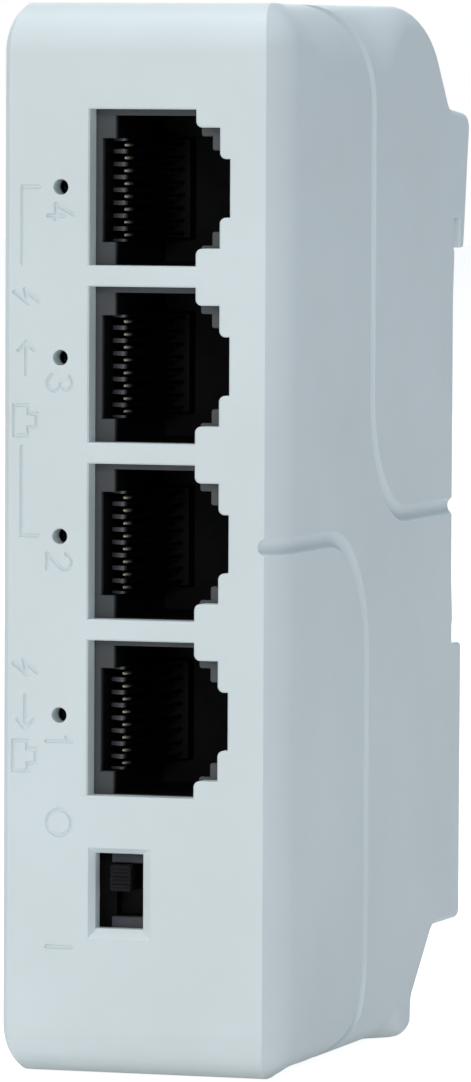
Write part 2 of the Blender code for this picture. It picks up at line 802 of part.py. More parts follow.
def build():
    clear_scene()
    parts = new_collection("poe_pass_through_switch")
    tools = new_collection("cutters", hidden=True)
    white, dark, metal = housing_plastic(), dark_plastic(), steel()
    build_housing(parts, tools, white)
    build_cover(parts, tools, white)
    build_screws(parts, tools, metal)
    build_board(parts, tools, board_green())
    build_jack(parts, tools, dark)
    build_contacts(parts, tools, contact_metal())
    build_lamps(parts, tools, lamp_plastic())
    build_switch(parts, tools, dark, dark)
    build_chips(parts, dark, metal)
    build_capacitor(parts, capacitor_sleeve())
    build_latch(parts, tools, white)
    build_spring(parts, metal)


build()
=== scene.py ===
"""Looks for the DIN-rail PoE pass-through switch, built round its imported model.

Measures are in millimetres on the bench: x from the middle of the width, y from the front face and
z from the bottom. at() turns them into the row frame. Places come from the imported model's boxes.
"""

import math

import bmesh
import bpy
from mathutils import Matrix, Vector


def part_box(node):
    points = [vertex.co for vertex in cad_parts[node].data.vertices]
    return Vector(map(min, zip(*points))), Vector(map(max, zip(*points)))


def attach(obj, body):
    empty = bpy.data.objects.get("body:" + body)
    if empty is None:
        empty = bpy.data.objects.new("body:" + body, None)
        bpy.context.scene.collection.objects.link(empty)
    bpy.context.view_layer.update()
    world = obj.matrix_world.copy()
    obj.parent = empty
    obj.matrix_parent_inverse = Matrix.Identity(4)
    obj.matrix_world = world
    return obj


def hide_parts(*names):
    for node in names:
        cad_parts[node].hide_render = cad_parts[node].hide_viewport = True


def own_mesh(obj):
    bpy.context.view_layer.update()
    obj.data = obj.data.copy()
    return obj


MM = 0.001
PORTS = (4, 3, 2, 1)

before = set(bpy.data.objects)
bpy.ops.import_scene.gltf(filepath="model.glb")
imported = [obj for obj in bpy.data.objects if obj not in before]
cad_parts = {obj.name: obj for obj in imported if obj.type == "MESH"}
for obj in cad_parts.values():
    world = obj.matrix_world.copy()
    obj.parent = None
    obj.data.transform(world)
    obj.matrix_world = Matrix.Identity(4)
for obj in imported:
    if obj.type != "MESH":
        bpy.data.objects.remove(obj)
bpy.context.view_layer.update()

SHELL_LOW, SHELL_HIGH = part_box("main_housing")
BENCH = Vector(((SHELL_LOW.x + SHELL_HIGH.x) / 2, SHELL_LOW.y, SHELL_LOW.z))
HALF = (SHELL_HIGH.x - SHELL_LOW.x) / 2 / MM
HEIGHT = (SHELL_HIGH.z - SHELL_LOW.z) / MM

# Housing
WALL = 1.7
ROOF_Z = HEIGHT - 2.6
GAP = 0.2
SEAT_Y = 47.75
SEAT_TOP_Z = 64.8
SEAT_BOTTOM_Z = 33.55
RELIEF_Y = 47.6
HOOK_Y = 49.35
LIP_Z = 64.95
SLOT_TOP_Z = 67.45
BLOCK_Y = 50.45
BLOCK_TOP_Z = 31.8
BLOCK_BOTTOM_Z = 8.5
OUTLINE_STEP = math.radians(5)
EDGE_STEPS = 9
LEFT_SHARE = 0.7
POST_RADIUS = 2.2
PILOT_RADIUS = 1.05
PILOT_DEPTH = 7.5


def even(radius):
    """A side edge with one radius all the way round."""
    return (radius, radius, 90.0)


# Side edges: how far each comes in across x, how far inwards, and the degrees it turns. The front
# one starts at a crease and rolls into the side. The crease carries on round the front corners.
CREASE = (1.45, 3.8, 40.5)
CORNER_CREASE = (2.2, 3.8, 54.0)
ROLL = even(3.8)
TOP_ROLL = (3.8, 7.0, 90.0)
REAR_TOP_ROLL = (1.7, 2.2, 90.0)
BROKEN = even(0.15)

# The housing seen from the side, clockwise: y, z, corner radius, side edge before and after it
SIDE_OUTLINE = (
    (0.0, 0.0, 4.0, CORNER_CREASE, CREASE),
    (0.0, HEIGHT, 4.0, CREASE, CORNER_CREASE),
    (14.0, HEIGHT, 0.0, TOP_ROLL, None),
    (26.0, HEIGHT, 0.0, TOP_ROLL, None),
    (39.7, HEIGHT, 12.0, REAR_TOP_ROLL, even(0.8)),
    (46.4, 76.7, 2.4, even(0.7), even(0.7)),
    (52.45, 76.1, 1.3, even(0.6), even(0.5)),
    (BLOCK_Y, LIP_Z, 0.3, even(0.25), even(0.2)),
    (HOOK_Y, LIP_Z, 0.0, BROKEN, None),
    (HOOK_Y, SLOT_TOP_Z, 0.0, BROKEN, None),
    (RELIEF_Y, SLOT_TOP_Z, 0.0, BROKEN, None),
    (RELIEF_Y, SEAT_TOP_Z, 0.0, BROKEN, None),
    (SEAT_Y, SEAT_TOP_Z, 0.0, BROKEN, None),
    (SEAT_Y, 60.0, 0.0, even(0.5), None),
    (SEAT_Y, 38.0, 0.0, even(0.5), None),
    (SEAT_Y, SEAT_BOTTOM_Z, 0.0, BROKEN, None),
    (RELIEF_Y, SEAT_BOTTOM_Z, 0.0, BROKEN, None),
    (RELIEF_Y, BLOCK_TOP_Z, 0.0, BROKEN, None),
    (BLOCK_Y, BLOCK_TOP_Z, 0.5, even(0.3), even(0.4)),
    (BLOCK_Y, BLOCK_BOTTOM_Z, 0.8, even(0.5), even(0.5)),
    (42.6, BLOCK_BOTTOM_Z, 2.6, even(0.6), even(0.6)),
    (36.55, 2.95, 1.0, even(0.7), even(0.7)),
    (36.55, 0.0, 1.6, even(0.8), even(1.4)),
    (31.5, 0.0, 0.0, ROLL, None),
    (14.0, 0.0, 0.0, ROLL, None),
)
CAVITY = (
    (WALL, WALL, 2.3),
    (WALL, ROOF_Z, 2.3),
    (38.5, ROOF_Z, 12.9),
    (SEAT_Y - WALL, 74.3, 2.0),
    (SEAT_Y - WALL, 10.2, 0.5),
    (42.0, 10.2, 1.0),
    (32.7, WALL, 1.5),
)

# Grooves: a round-bottomed channel, 1.4 wide and 0.5 deep
GROOVE_TOOL = 0.74
GROOVE_LIFT = 0.24
GROOVE_BEND = 10.0
GROOVE_END_BEND = 8.5
GROOVE_RUN_OUT = 2.0
GROOVE_INSET = 0.02

# Marks on the front
MARK_TOOL = 0.19
NUMBER_X = -7.6
NUMBER_DROP = 2.0
NUMBER_SIZE = (1.35, 2.1)
BRACKET_X = (-9.75, -8.38)
SYMBOL_X = -10.4
SYMBOL_COLUMNS = ((61.8, 1, 4.9), (32.4, -1, 3.5))
OFF_RING = (-6.53, 20.2)
OFF_RADIUS = 1.02
ON_BAR = ((-7.55, 10.3), (-5.5, 10.3))

# Front openings: (right edge, height) of each step of a jack's hole
PORT_LEFT = -4.19
PORT_STEPS = ((4.62, 12.32), (6.59, 9.5), (7.43, 4.6))
PORT_ROUND = 0.5
JACK_LEFT = -2.65
JACK_STEPS = ((4.48, 11.8), (5.39, 8.6), (7.2, 6.4))
JACK_DEPTH = 12.7
JACK_DROP = 0.25
NOTCH_LEFT = -3.75
NOTCH_WIDTH = 8.2
LAMP_X = -6.56
LAMP_HOLE = 0.62
LENS_RADIUS = 0.46
WINDOW = (-3.68, 0.32, 11.84, 17.84)
WINDOW_FRAME = (-4.1, 1.12, 11.05, 18.3)
WINDOW_SLOPE = 0.62
CONTACTS = 8
CONTACT_PITCH = 1.02
CONTACT_WIRE = 0.17
CONTACT_PATH = ((-2.95, 6.2), (-2.6, 4.6), (-2.42, 4.0), (-2.22, 4.1), (-2.05, 5.6), (-0.95, 12.0))
RIB_FRONT_Y = 3.7

# Cover and screws
COVER_THICKNESS = 2.0
COVER_OUTLINE = (
    (3.2, 4.0, 2.5),
    (3.2, 81.0, 2.5),
    (37.4, 81.0, 8.0),
    (43.7, 73.5, 3.0),
    (43.7, 12.3, 2.0),
    (40.9, 12.3, 2.0),
    (31.8, 4.0, 2.0),
)
COVER_SCREWS = ((6.8, 6.6), (30.5, 6.9), (31.0, 77.9))
BOARD_SCREWS = ((41.0, 70.0), (41.0, 14.5))
HEAD_RADIUS = 1.75
THREAD_ROOT = 0.62
THREAD_CREST = 0.8
THREAD_PITCH = 0.6

# Rail latch and spring
NOSE_GAP = 1.3
FLANGE_THICKNESS = 1.1
FLANGE_DROP = 1.5
SPRING_WIRE = 0.16
SPRING_TURNS = 7
SPRING_STEPS = 28

# Camera and light
CAMERA_AIM = Vector((7.23, -45.22, -7.27)) * MM
CAMERA_AZIMUTH = math.radians(17.81)
CAMERA_ELEVATION = math.radians(3.25)
CAMERA_DISTANCE = 653.8 * MM
CAMERA_LENS = 276.05
CAMERA_ROLL = 0.0046


def at(x, y, z):
    """A place in the row frame, in metres, from bench millimetres."""
    return BENCH + Vector((x, y, z)) * MM


def bench(point):
    """Bench millimetres of a place in the row frame."""
    return (point - BENCH) / MM


def bench_box(node):
    """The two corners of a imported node's box, in bench millimetres."""
    return [bench(corner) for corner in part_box(node)]


def middle_z(node):
    low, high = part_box(node)
    return bench((low + high) / 2).z


JACK_Z = {port: middle_z(f"port_contacts_{port}") for port in PORTS}
PORT_Z = {port: JACK_Z[port] + JACK_DROP for port in PORTS}
LAMP_Z = {port: middle_z(f"status_led_{port}") for port in PORTS}


# Meshes


def place(axis, u, v, depth):
    """A point of an outline drawn across an axis, at a depth along it."""
    if axis == "x":
        return at(depth, u, v)
    if axis == "y":
        return at(u, depth, v)
    return at(u, v, depth)


def new_object(name, work, surface=None):
    """A mesh object from a bmesh, which is freed."""
    bmesh.ops.remove_doubles(work, verts=work.verts, dist=2e-6)
    bmesh.ops.recalc_face_normals(work, faces=work.faces)
    mesh = bpy.data.meshes.new(name)
    work.to_mesh(mesh)
    work.free()
    obj = bpy.data.objects.new(name, mesh)
    bpy.context.scene.collection.objects.link(obj)
    if surface:
        mesh.materials.append(surface)
    return obj


def corner_ways(corners, i):
    """A corner's place, and the ways from it to the corners before and after."""
    here = Vector(corners[i][:2])
    back = (Vector(corners[i - 1][:2]) - here).normalized()
    ahead = (Vector(corners[(i + 1) % len(corners)][:2]) - here).normalized()
    return here, back, ahead


def corner_arc(here, back, ahead, radius):
    """The middle of the arc at a corner, the spoke to its start, and how far it turns."""
    half = back.angle(ahead) / 2
    middle = here + (back + ahead).normalized() * radius / math.sin(half)
    start = here + back * radius / math.tan(half) - middle
    turn = math.copysign(math.pi - 2 * half, -back.cross(ahead))
    return middle, start, turn


def rounded(corners, step=math.radians(10)):
    """A flat outline from (u, v, radius) corners, with an arc at each corner that has a radius."""
    points = []
    for i, (_, _, radius) in enumerate(corners):
        here, back, ahead = corner_ways(corners, i)
        if radius == 0:
            points.append(here)
            continue
        middle, start, turn = corner_arc(here, back, ahead, radius)
        steps = max(2, math.ceil(abs(turn) / step))
        for k in range(steps + 1):
            points.append(middle + Matrix.Rotation(turn * k / steps, 2) @ start)
    return points


def circle(u, v, radius, sides=32):
    turns = (math.tau * k / sides for k in range(sides))
    return [Vector((u + radius * math.cos(t), v + radius * math.sin(t))) for t in turns]


def offset(points, amount):
    """An outline moved outwards by amount."""
    area = sum(points[i - 1].cross(points[i]) for i in range(len(points)))
    side = 1 if area > 0 else -1
    moved = []
    for i, here in enumerate(points):
        back = (here - points[i - 1]).normalized()
        ahead = (points[(i + 1) % len(points)] - here).normalized()
        out_back = Vector((back.y, -back.x)) * side
        out_ahead = Vector((ahead.y, -ahead.x)) * side
        out = (out_back + out_ahead).normalized()
        moved.append(here + out * amount / max(out.dot(out_back), 0.3))
    return moved


def close_rows(work, rows):
    """Joins rings of vertices into a closed solid with flat ends."""
    for low, high in zip(rows, rows[1:]):
        for k in range(len(low)):
            work.faces.new((low[k - 1], low[k], high[k], high[k - 1]))
    work.faces.new(rows[0])
    work.faces.new(rows[-1][::-1])


def add_loft(work, points, axis, rings):
    """Adds a closed solid: the outline at each (depth, growth) ring, joined and capped."""
    rows = []
    for depth, growth in rings:
        shape = offset(points, growth) if growth else points
        rows.append([work.verts.new(place(axis, p.x, p.y, depth)) for p in shape])
    close_rows(work, rows)


def loft(name, points, axis, rings, surface=None):
    work = bmesh.new()
    add_loft(work, points, axis, rings)
    return new_object(name, work, surface)


def soft_rings(low, high, radius, steps=3):
    """Rings for a solid from low to high whose two end edges are rounded."""
    rings = []
    for k in range(steps + 1):
        turn = math.pi / 2 * k / steps
        rings.append((low + radius * (1 - math.sin(turn)), -radius * (1 - math.cos(turn))))
    rings = rings[::-1]
    mirrored = [(low + high - depth, growth) for depth, growth in rings]
    return rings + mirrored[::-1]


def rectangle(low_u, low_v, high_u, high_v, radius=0.0):
    corners = ((low_u, low_v), (low_u, high_v), (high_u, high_v), (high_u, low_v))
    return rounded([(u, v, radius) for u, v in corners])


def soft_box(name, low, high, radius, surface, corner=0.3):
    """A block with rounded edges, drawn across the y axis."""
    points = rectangle(low[0], low[2], high[0], high[2], corner)
    return loft(name, points, "y", soft_rings(low[1], high[1], radius), surface)


def with_round_ends(path, radius):
    """A tube's path with short steps added at both ends, and its radius at each point."""
    caps = ((0.5, 0.87), (0.87, 0.5), (0.98, 0.17))
    start_way = (path[0] - path[1]).normalized() * radius
    end_way = (path[-1] - path[-2]).normalized() * radius
    start = [path[0] + start_way * far for far, _ in caps[::-1]]
    end = [path[-1] + end_way * far for far, _ in caps]
    sizes = [radius * size for _, size in caps]
    return start + path + end, sizes[::-1] + [radius] * len(path) + sizes


def tube_ring(work, here, ways, side, size, sides):
    """A ring of vertices round a point, on the plane halfway between the ways before and after."""
    before, way = ways
    across = way.cross(side)
    cut = (before + way).normalized()
    ring = []
    for k in range(sides):
        turn = math.tau * (k + 0.5) / sides
        spoke = (side * math.cos(turn) + across * math.sin(turn)) * size
        spoke -= way * spoke.dot(cut) / way.dot(cut)
        ring.append(work.verts.new(at(*(here + spoke))))
    return ring


def add_tube(work, path, radius, sides=10, round_ends=False):
    """Adds a closed round tube along a path of bench points."""
    path = [Vector(p) for p in path]
    sizes = [radius] * len(path)
    if round_ends:
        path, sizes = with_round_ends(path, radius)
    ways = [(b - a).normalized() for a, b in zip(path, path[1:])]
    side = ways[0].orthogonal().normalized()
    rings = []
    for i, here in enumerate(path):
        way = ways[min(i, len(ways) - 1)]
        before = ways[max(i - 1, 0)]
        side = before.rotation_difference(way) @ side
        rings.append(tube_ring(work, here, (before, way), side, sizes[i], sides))
    close_rows(work, rings)


def tubes(name, paths, radius, surface=None, sides=10, round_ends=False):
    work = bmesh.new()
    for path in paths:
        add_tube(work, path, radius, sides, round_ends)
    return new_object(name, work, surface)


def apply_modifiers(obj):
    """Puts an object's modifiers into its mesh."""
    bpy.context.view_layer.update()
    seen = obj.evaluated_get(bpy.context.evaluated_depsgraph_get())
    mesh = bpy.data.meshes.new_from_object(seen)
    obj.modifiers.clear()
    obj.data = mesh
    return obj


def carve(obj, tool, operation="DIFFERENCE"):
    """Cuts a tool out of an object, or joins it on, and removes the tool."""
    change = obj.modifiers.new("carve", "BOOLEAN")
    change.operation = operation
    change.solver = "EXACT"
    change.object = tool
    apply_modifiers(obj)
    bpy.data.objects.remove(tool, do_unlink=True)
    return obj


def tidy(obj, angle=32):
    """Welds a carved mesh and shades it smooth, with its flat faces kept flat."""
    work = bmesh.new()
    work.from_mesh(obj.data)
    bmesh.ops.remove_doubles(work, verts=work.verts, dist=2e-6)
    bmesh.ops.dissolve_degenerate(work, dist=1e-6, edges=work.edges)
    work.to_mesh(obj.data)
    work.free()
    obj.data.shade_smooth()
    obj.data.set_sharp_from_angle(angle=math.radians(angle))
    weigh = obj.modifiers.new("weigh", "WEIGHTED_NORMAL")
    weigh.keep_sharp = True
    weigh.weight = 100
    return obj


def finish_piece(obj, body, slot, *nodes, angle=32):
    tidy(obj, angle)
    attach(obj, body)
    if nodes:
        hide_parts(*nodes)
    return obj


# Materials


class Recipe:
    """A material's node tree, with short calls to add to it."""

    def __init__(self, name):
        self.made = bpy.data.materials.new(name)
        self.made.use_nodes = True
        self.tree = self.made.node_tree
        self.shader = self.tree.nodes["Principled BSDF"]
        self.where = self.tree.nodes.new("ShaderNodeTexCoord").outputs["Object"]

    def node(self, kind, **values):
        made = self.tree.nodes.new(kind)
        for key, value in values.items():
            setattr(made, key, value)
        return made

    def link(self, start, end):
        self.tree.links.new(start, end)

    def noise(self, scale, detail=2.0, stretch=None):
        made = self.node("ShaderNodeTexNoise")
        made.inputs["Scale"].default_value = scale
        made.inputs["Detail"].default_value = detail
        source = self.where
        if stretch:
            mapping = self.node("ShaderNodeMapping")
            mapping.inputs["Scale"].default_value = stretch
            self.link(source, mapping.inputs["Vector"])
            source = mapping.outputs["Vector"]
        self.link(source, made.inputs["Vector"])
        return made.outputs["Fac"]

    def ramp(self, factor, stops):
        made = self.node("ShaderNodeValToRGB")
        while len(made.color_ramp.elements) < len(stops):
            made.color_ramp.elements.new(0.5)
        for element, (position, colour) in zip(made.color_ramp.elements, stops):
            element.position = position
            element.color = (*colour, 1.0)
        self.link(factor, made.inputs["Fac"])
        return made.outputs["Color"]

    def spread(self, factor, low, high):
        made = self.node("ShaderNodeMapRange")
        made.inputs["To Min"].default_value = low
        made.inputs["To Max"].default_value = high
        self.link(factor, made.inputs["Value"])
        return made.outputs["Result"]

    def depth(self, low_y, high_y):
        """0 in front of one bench depth and 1 behind another."""
        apart = self.node("ShaderNodeSeparateXYZ")
        self.link(self.where, apart.inputs["Vector"])
        made = self.node("ShaderNodeMapRange")
        made.inputs["From Min"].default_value = at(0, low_y, 0).y
        made.inputs["From Max"].default_value = at(0, high_y, 0).y
        self.link(apart.outputs["Y"], made.inputs["Value"])
        return made.outputs["Result"]

    def bump(self, height, distance, strength=1.0):
        made = self.node("ShaderNodeBump")
        made.inputs["Distance"].default_value = distance
        made.inputs["Strength"].default_value = strength
        self.link(height, made.inputs["Height"])
        self.link(made.outputs["Normal"], self.shader.inputs["Normal"])

    def colour(self, source):
        self.link(source, self.shader.inputs["Base Color"])

    def rough(self, source):
        self.link(source, self.shader.inputs["Roughness"])

    def value(self, name, value):
        self.shader.inputs[name].default_value = value


def shade(colour, factor):
    return tuple(c * factor for c in colour)


def moulded(name, colour, low=0.42, high=0.56, grain=0.000012, vary=0.03):
    """Moulded plastic: fine spark-eroded grain, slight blotches in tone and gloss."""
    mix = Recipe(name)
    blotch = mix.noise(60.0, 3.0)
    mix.colour(mix.ramp(blotch, ((0.3, shade(colour, 1 - vary)), (0.7, shade(colour, 1 + vary)))))
    mix.rough(mix.spread(mix.noise(900.0, 4.0), low, high))
    mix.bump(mix.noise(5200.0, 3.0), grain, 0.35)
    return mix.made


def housing_plastic():
    return moulded("white_housing_plastic", (0.735, 0.815, 0.83))


def cover_plastic():
    return moulded("white_cover_plastic", (0.72, 0.8, 0.82))


def latch_plastic():
    return moulded("white_latch_plastic", (0.68, 0.755, 0.775), low=0.36, high=0.48)


def jack_plastic(name, face, low_y, high_y):
    """Dark grey plastic at the front, with painted shade that darkens it to black deeper inside,
    where hardly any light comes back.
    """
    mix = Recipe(name)
    # Painted shade: the colour ramps from the front colour to black between the two depths.
    mix.colour(mix.ramp(mix.depth(low_y, high_y), ((0.0, face), (1.0, (0.001, 0.001, 0.001)))))
    mix.rough(mix.spread(mix.noise(1500.0, 3.0), 0.45, 0.65))
    mix.bump(mix.noise(6000.0, 3.0), 0.00001, 0.4)
    mix.value("Specular IOR Level", 0.2)
    return mix.made


def switch_plastic():
    # Painted shade: dark grey at the switch's front, darkening to black from 1.95 to 3.0 mm deep.
    return jack_plastic("switch_plastic", (0.075, 0.08, 0.09), 1.95, 3.0)


def knob_plastic_painted_shade():
    # Painted shade: near black at the knob's front, darkening to black from 0.5 to 2.5 mm deep.
    return jack_plastic("knob_plastic_painted_shade", (0.008, 0.008, 0.011), 0.5, 2.5)


def contact_gold():
    mix = Recipe("contact_gold")
    gold, shaded = (0.42, 0.385, 0.3), (0.012, 0.011, 0.009)
    # Painted shade: the gold darkens to near black from 4.1 to 4.7 mm deep, standing in for the dark
    # inside of the jack.
    mix.colour(mix.ramp(mix.depth(4.1, 4.7), ((0.0, gold), (1.0, shaded))))
    mix.rough(mix.spread(mix.noise(3000.0), 0.3, 0.45))
    mix.value("Metallic", 1.0)
    return mix.made


def steel(name="steel", tint=(0.55, 0.56, 0.58)):
    """Drawn or turned steel, with streaks in its gloss."""
    mix = Recipe(name)
    streak = mix.noise(400.0, 3.0, (1.0, 1.0, 14.0))
    mix.colour(mix.ramp(streak, ((0.3, shade(tint, 0.85)), (0.75, shade(tint, 1.1)))))
    mix.rough(mix.spread(streak, 0.22, 0.42))
    mix.bump(streak, 0.000008, 0.3)
    mix.value("Metallic", 1.0)
    return mix.made


def lamp_resin():
    """The unlit lamps: a clouded, nearly black resin behind its pinhole."""
    mix = Recipe("lamp_resin")
    dark, clear = (0.012, 0.014, 0.014), (0.03, 0.034, 0.033)
    mix.colour(mix.ramp(mix.noise(900.0), ((0.3, dark), (0.7, clear))))
    mix.rough(mix.spread(mix.noise(2000.0), 0.08, 0.2))
    mix.value("Coat Weight", 0.4)
    return mix.made


def board_mask():
    """Green solder mask, with copper tracks showing through it as lighter lines."""
    mix = Recipe("board_mask")
    tracks = mix.node("ShaderNodeTexVoronoi", feature="DISTANCE_TO_EDGE", distance="CHEBYCHEV")
    tracks.inputs["Scale"].default_value = 420.0
    mix.link(mix.where, tracks.inputs["Vector"])
    line = tracks.outputs["Distance"]
    mix.colour(mix.ramp(line, ((0.0, (0.02, 0.2, 0.08)), (0.1, (0.008, 0.075, 0.035)))))
    mix.rough(mix.spread(mix.noise(1200.0), 0.2, 0.35))
    mix.bump(line, 0.00002, 0.3)
    return mix.made


def chip_resin():
    black = (0.018, 0.018, 0.02)
    return moulded("chip_resin", black, low=0.5, high=0.7, grain=0.00002, vary=0.12)


def ferrite():
    grey = (0.045, 0.043, 0.045)
    return moulded("ferrite", grey, low=0.6, high=0.8, grain=0.00006, vary=0.2)


def capacitor_sleeve():
    """A dark shrink sleeve with a pale stripe along its front and along its back."""
    mix = Recipe("capacitor_sleeve")
    low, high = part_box("filter_capacitor")
    apart = mix.node("ShaderNodeSeparateXYZ")
    mix.link(mix.where, apart.inputs["Vector"])
    across = mix.node("ShaderNodeMapRange")
    across.inputs["From Min"].default_value = low.z
    across.inputs["From Max"].default_value = high.z
    mix.link(apart.outputs["Z"], across.inputs["Value"])
    dark, pale = (0.012, 0.016, 0.028), (0.38, 0.39, 0.4)
    stops = ((0.0, dark), (0.39, dark), (0.4, pale), (0.6, pale), (0.61, dark))
    mix.colour(mix.ramp(across.outputs["Result"], stops))
    mix.rough(mix.spread(mix.noise(700.0), 0.25, 0.4))
    return mix.made


# Housing


def between(before, after, share):
    """A side edge part of the way from one to another, with an eased start and end."""
    ease = share * share * (3 - 2 * share)
    return tuple(a + (b - a) * ease for a, b in zip(before, after))


def side_sections():
    """Points round the side outline: place, the way inwards and the side edge there."""
    sections = []
    for i, (_, _, radius, before, after) in enumerate(SIDE_OUTLINE):
        here, back, ahead = corner_ways(SIDE_OUTLINE, i)
        in_back = Vector((-back.y, back.x))
        in_ahead = Vector((ahead.y, -ahead.x))
        if radius == 0:
            inward = (in_back + in_ahead).normalized()
            inward /= inward.dot(in_back)
            sections.append((here, inward, before))
            continue
        middle, start, turn = corner_arc(here, back, ahead, radius)
        steps = max(3, math.ceil(abs(turn) / OUTLINE_STEP))
        for k in range(steps + 1):
            share = k / steps
            swing = Matrix.Rotation(turn * share, 2)
            edge = between(before, after, share)
            sections.append((middle + swing @ start, swing @ in_back, edge))
    return with_eased_edges(sections)


def with_eased_edges(sections):
    """Adds sections on the straight lengths where the side edge changes."""
    eased = []
    for i, (here, inward, edge) in enumerate(sections):
        eased.append((here, inward, edge))
        there, _, end = sections[(i + 1) % len(sections)]
        way = there - here
        change = max(abs(a - b) for a, b in zip(edge, end))
        if change < 0.05 or way.length < 2.0:
            continue
        straight = Vector((way.y, -way.x)).normalized()
        for k in range(1, 8):
            eased.append((here + way * k / 8, straight, between(edge, end, k / 8)))
    return eased


def edge_profile(edge, share):
    """How far a side edge has come in across x, and inwards, at a share of the way to the side."""
    across, reach, turn = edge
    full = math.radians(turn)
    angle = full * (1 - share)
    come_across = across * (1 - math.cos(angle)) / (1 - math.cos(full))
    come_in = reach * (1 - math.sin(angle) / math.sin(full))
    return come_across, come_in


def housing_form():
    """The outer form: a band round the side outline with rolled side edges, tighter on the left."""
    work = bmesh.new()
    rows = []
    for here, inward, edge in side_sections():
        steps = [edge_profile(edge, k / EDGE_STEPS) for k in range(EDGE_STEPS + 1)]
        row = []
        for across, reach in steps[::-1]:
            spot = here + inward * reach * LEFT_SHARE
            row.append(work.verts.new(at(across * LEFT_SHARE - HALF, spot.x, spot.y)))
        for across, reach in steps:
            spot = here + inward * reach
            row.append(work.verts.new(at(HALF - across, spot.x, spot.y)))
        rows.append(row)
    for before, after in zip(rows, rows[1:] + rows[:1]):
        for k in range(len(before) - 1):
            work.faces.new((before[k], before[k + 1], after[k + 1], after[k]))
    work.faces.new([row[0] for row in rows])
    work.faces.new([row[-1] for row in rows][::-1])
    return new_object("housing_shell", work)


def side_surface(y, z):
    """X of the right side's skin at (y, z), and the way out of it."""
    gaps = (
        (y, CREASE, Vector((0, -1, 0))),
        (HEIGHT - z, TOP_ROLL, Vector((0, 0, 1))),
        (z, ROLL, Vector((0, 0, -1))),
    )
    for gap, (across, reach, turn), out in gaps:
        if gap < reach:
            full = math.radians(turn)
            angle = math.asin((1 - max(gap, 0.0) / reach) * math.sin(full))
            x = HALF - across * (1 - math.cos(angle)) / (1 - math.cos(full))
            return x, (Vector((1, 0, 0)) * math.cos(angle) + out * math.sin(angle)).normalized()
    return HALF, Vector((1, 0, 0))


def over_skin(path, first_way, last_way):
    """A (y, z) path laid just proud of the right side's skin, and run out at both ends."""
    laid = []
    for y, z in path:
        x, normal = side_surface(y, z)
        laid.append(Vector((x, y, z)) + normal * GROOVE_LIFT)
    before = laid[0] + first_way * GROOVE_RUN_OUT
    after = laid[-1] + last_way * GROOVE_RUN_OUT
    return [before] + laid + [after]


def oval_arc(middle, radius_u, radius_v, start, end, steps=10):
    """Points on part of an oval, from one angle to another in degrees."""
    turns = (math.radians(start + (end - start) * k / steps) for k in range(steps + 1))
    return [(middle[0] + radius_u * math.cos(t), middle[1] + radius_v * math.sin(t)) for t in turns]


def arc(middle, radius, start, end, step=6.0):
    steps = max(2, math.ceil(abs(end - start) / step))
    return oval_arc(middle, radius, radius, start, end, steps)


def rear_groove():
    """From the top edge, down the side, round a bend and out at the back."""
    head = arc((15.8, 76.5), GROOVE_END_BEND, 85, 0)
    head[0] = (head[0][0], HEIGHT - GROOVE_INSET)
    bend = arc((34.3, 53.4), GROOVE_BEND, 180, 270)
    return over_skin(head + bend + [(SEAT_Y + 1.0, 43.4)], Vector((0, 0, 1)), Vector((0, 1, 0)))


def front_groove():
    """From the front crease, round a bend, down the side and forward again at the bottom."""
    start = [(y, 42.35) for y in (0.0, 0.6, 1.3, 2.1, 3.0, 3.9)]
    bend = arc((13.0, 32.35), GROOVE_BEND, 90, 0)
    foot = arc((14.5, 8.5), GROOVE_END_BEND, 0, -85)
    foot[-1] = (foot[-1][0], GROOVE_INSET)
    return over_skin(start + bend + foot, Vector((0, -1, 0)), Vector((0, 0, -1)))


def cut_inside(shell):
    """The hollow, the cover's opening, and the screw posts inside."""
    inner = HALF - WALL
    carve(shell, loft("hollow", rounded(CAVITY), "x", ((-inner, 0), (inner, 0))))
    opening = offset(rounded(COVER_OUTLINE), GAP)
    edge = ((-HALF - 0.5, 0.65), (-HALF + 0.15, 0), (-inner + 0.5, 0))
    carve(shell, loft("opening", opening, "x", edge))
    posts, pilots = bmesh.new(), bmesh.new()
    seats = [(y, z, -HALF + COVER_THICKNESS + GAP) for y, z in COVER_SCREWS]
    board_right = bench(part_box("main_board")[1]).x
    seats += [(y, z, board_right + GAP) for y, z in BOARD_SCREWS]
    for y, z, end in seats:
        add_loft(posts, circle(y, z, POST_RADIUS, 24), "x", ((end, 0), (inner + 0.4, 0)))
        add_loft(pilots, circle(y, z, PILOT_RADIUS, 16), "x", ((end - 1, 0), (end + PILOT_DEPTH, 0)))
    carve(shell, new_object("posts", posts), "UNION")
    carve(shell, new_object("pilots", pilots))


def stepped(left, steps, middle, radius=0.0):
    """A jack's opening. The corners of plastic that stand into it have a radius."""
    upper = []
    inner = left
    for right, height in steps:
        first = radius if upper else 0.0
        upper += [(inner, middle + height / 2, first), (right, middle + height / 2, 0.0)]
        inner = right
    lower = [(x, 2 * middle - z, r) for x, z, r in reversed(upper)]
    return rounded(upper + lower)


def cut_front(shell):
    """Jack openings and pinholes, all with broken edges, and the switch's window."""
    holes = bmesh.new()
    edge = ((-0.25, 0.37), (0.12, 0.0), (WALL + 1, 0.0))
    lamp_edge = ((-0.3, 0.35), (0.05, 0), (WALL + 1, 0))
    for port in PORTS:
        add_loft(holes, stepped(PORT_LEFT, PORT_STEPS, PORT_Z[port], PORT_ROUND), "y", edge)
        add_loft(holes, circle(LAMP_X, LAMP_Z[port], LAMP_HOLE, 24), "y", lamp_edge)
    carve(shell, new_object("holes", holes))
    window_frame(shell)


